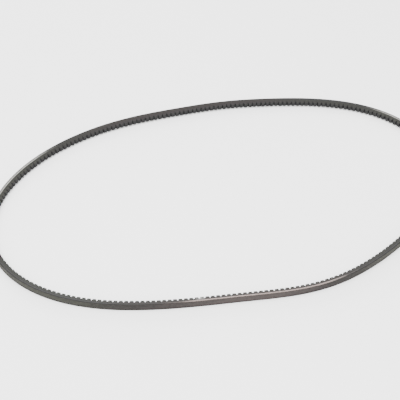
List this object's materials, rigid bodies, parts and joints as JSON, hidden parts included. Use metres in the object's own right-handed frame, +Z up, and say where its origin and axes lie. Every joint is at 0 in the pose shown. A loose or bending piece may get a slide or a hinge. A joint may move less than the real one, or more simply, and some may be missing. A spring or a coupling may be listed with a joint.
{
  "type": "cogged v belt",
  "caption": "Raw-edge cogged V-belt, an endless bonded laminate lying on one edge as a free oval loop, with cogs on the inner side and pale cord ends along the flanks.",
  "frame": {"origin": "middle of the loop, on the surface the belt lies on", "axes": "+Z up, across the belt's width; +X along the loop's longest extent; the belt's outer face looks outwards all round"},
  "size_m": [0.7468, 0.4288, 0.013],
  "materials": {
    "back_cloth": "rubberised woven cloth, dusty matt black",
    "ply_cloth": "rubberised woven cloth, matt black",
    "overcord_rubber": "knife-cut matt rubber",
    "adhesion_gum": "pale soft gum, matt",
    "polyester_cord": "off-white twisted yarn, cut ends fuzzy",
    "compression_rubber": "fibre-loaded rubber, ground matt",
    "cog_rubber": "fibre-loaded rubber, ground matt",
    "facing_cloth": "thin rubberised cloth pressed into the cogs"
  },
  "bodies": {
    "root": {"outer_back_ply": "back_cloth", "inner_back_ply": "ply_cloth", "overcord_rubber": "overcord_rubber", "upper_adhesion_gum": "adhesion_gum", "tensile_cord_turn_1": "polyester_cord", "tensile_cord_turn_2": "polyester_cord", "tensile_cord_turn_3": "polyester_cord", "tensile_cord_turn_4": "polyester_cord", "tensile_cord_turn_5": "polyester_cord", "tensile_cord_turn_6": "polyester_cord", "tensile_cord_turn_7": "polyester_cord", "tensile_cord_turn_8": "polyester_cord", "tensile_cord_turn_9": "polyester_cord", "tensile_cord_turn_10": "polyester_cord", "tensile_cord_turn_11": "polyester_cord", "tensile_cord_turn_12": "polyester_cord", "lower_adhesion_gum": "adhesion_gum", "compression_rubber": "compression_rubber", "cog_pad_rubber": "cog_rubber", "cog_facing_cloth": "facing_cloth"}
  },
  "joints": []
}
